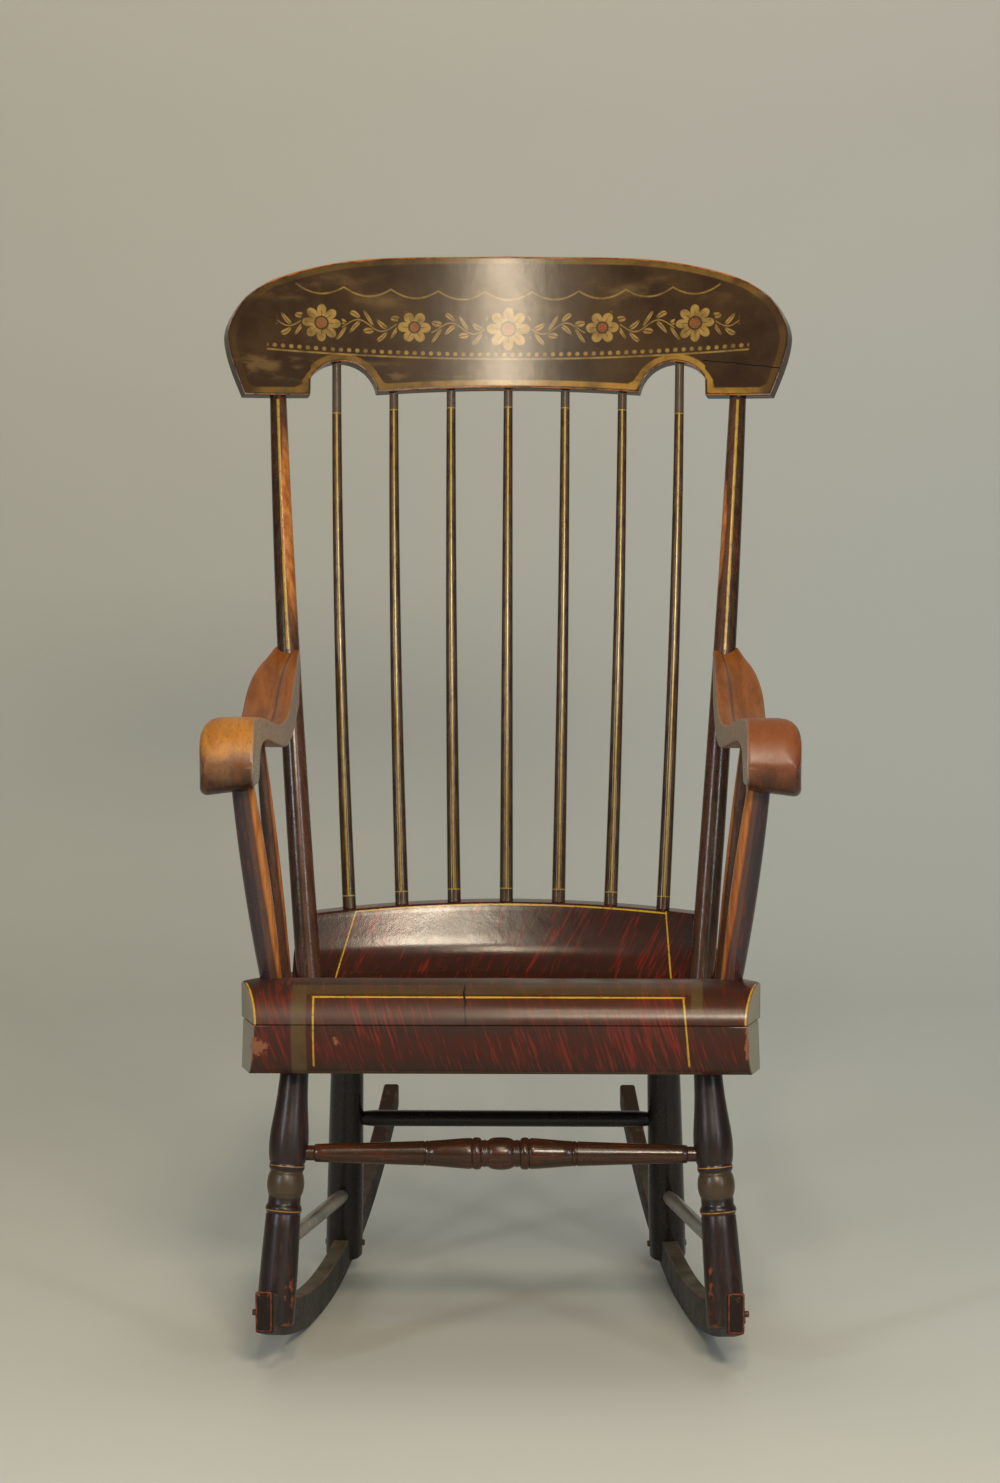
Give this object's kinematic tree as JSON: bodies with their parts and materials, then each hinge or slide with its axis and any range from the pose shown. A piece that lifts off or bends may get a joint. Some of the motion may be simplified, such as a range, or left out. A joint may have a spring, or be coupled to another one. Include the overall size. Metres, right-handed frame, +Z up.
{
  "type": "boston rocking chair",
  "caption": "Wooden rocking chair with a high spindle back, broad stencilled crest rail, rolled plank seat, scrolled arms and curved runners.",
  "frame": {"origin": "on the floor, under the middle of the chair's box", "axes": "+Z up, the front of the chair faces -Y, +X to the right as seen from the front"},
  "size_m": [0.6142, 0.7144, 1.0853],
  "materials": {
    "seat_graining": "black over red-brown graining, glossy varnish",
    "crest_paint": "dark brown paint with bronze and gold stencilling, glossy varnish",
    "back_paint": "dark brown paint with yellow lines, worn to orange wood on the edges",
    "turned_paint": "dark red-brown paint with gold rings, glossy varnish",
    "rocker_paint": "dark brown paint, worn on the edges",
    "arm_mahogany": "clear varnished mahogany, glossy and worn",
    "peg_wood": "stained hardwood pegs, satin"
  },
  "bodies": {
    "root": {"seat_plank": "seat_graining", "seat_front_roll": "seat_graining", "seat_riser": "seat_graining", "crest_rail": "crest_paint", "front_stretcher": "turned_paint", "rear_stretcher": "turned_paint", "rocker_pins": "peg_wood", "crest_pins": "peg_wood", "back_spindle_1": "back_paint", "back_spindle_2": "back_paint", "back_spindle_3": "back_paint", "back_spindle_4": "back_paint", "back_spindle_5": "back_paint", "back_spindle_6": "back_paint", "back_spindle_7": "back_paint", "left_stile": "back_paint", "left_arm": "arm_mahogany", "left_front_arm_post": "back_paint", "left_rear_arm_prop": "back_paint", "left_front_leg": "turned_paint", "left_rear_leg": "turned_paint", "left_side_stretcher": "turned_paint", "left_rocker": "rocker_paint", "right_stile": "back_paint", "right_arm": "arm_mahogany", "right_front_arm_post": "back_paint", "right_rear_arm_prop": "back_paint", "right_front_leg": "turned_paint", "right_rear_leg": "turned_paint", "right_side_stretcher": "turned_paint", "right_rocker": "rocker_paint"}
  },
  "joints": []
}
